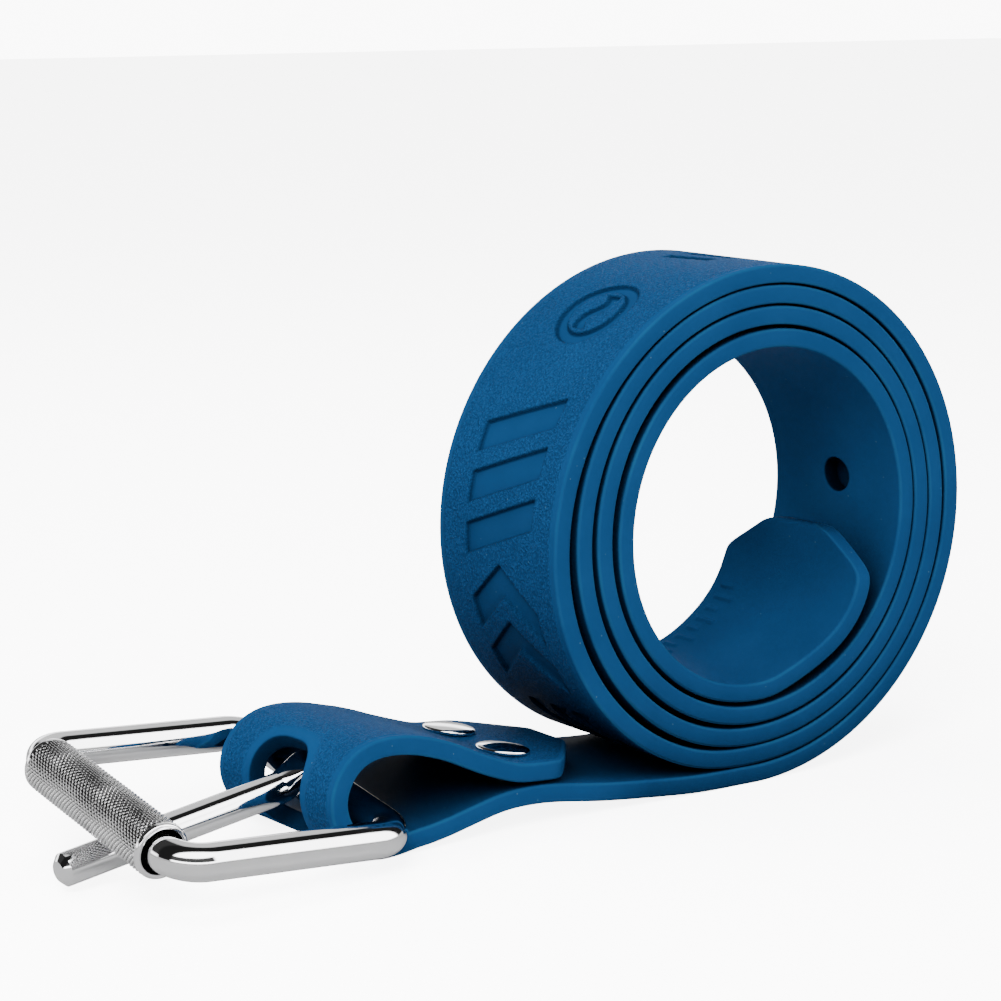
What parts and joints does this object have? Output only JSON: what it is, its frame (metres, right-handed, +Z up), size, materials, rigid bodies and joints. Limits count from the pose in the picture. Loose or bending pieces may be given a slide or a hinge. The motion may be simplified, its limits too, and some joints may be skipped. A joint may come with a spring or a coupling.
{
  "type": "dive weight belt",
  "caption": "Rolled-up rubber dive weight belt: a long flat strap folded and riveted round a pin buckle with a rod frame, a knurled roller and a swinging tongue.",
  "frame": {"origin": "on the floor under the middle of the coil, at the middle of the strap's width, where the strap's outer face stands on the floor", "axes": "+Z up; +X along the strap's straight run from the buckle towards the coil; +Y across the strap's width"},
  "size_m": [0.2447, 0.075, 0.1271],
  "materials": {
    "strap_rubber": "matte, fine leather-like grain",
    "frame_chrome": "polished",
    "roller_chrome": "diamond knurl, polished ends",
    "tongue_chrome": "polished",
    "rivet_chrome": "polished"
  },
  "bodies": {
    "strap": {"strap": "strap_rubber", "rivet_cap_front": "rivet_chrome", "rivet_cap_back": "rivet_chrome", "rivet_post_front": "rivet_chrome", "rivet_post_back": "rivet_chrome"},
    "tongue": {"tongue": "tongue_chrome"},
    "frame": {"buckle_frame": "frame_chrome"},
    "roller": {"roller": "roller_chrome"}
  },
  "joints": [
    {"name": "tongue_swing", "type": "hinge", "parent": "strap", "child": "tongue", "pos_m": [-0.10865, 0.00137, 0.01349], "axis": [-0.021, 0.9875, 0.156], "range_deg": [-20, 30]},
    {"name": "frame_swing", "type": "hinge", "parent": "tongue", "child": "frame", "pos_m": [-0.1086, -0.0011, 0.0131], "axis": [-0.021, 0.9875, 0.156], "range_deg": [0, 88]},
    {"name": "roller_spin", "type": "hinge", "parent": "frame", "child": "roller", "pos_m": [-0.16491, -0.00297, 0.01734], "axis": [-0.021, 0.9875, 0.156], "continuous": true}
  ]
}
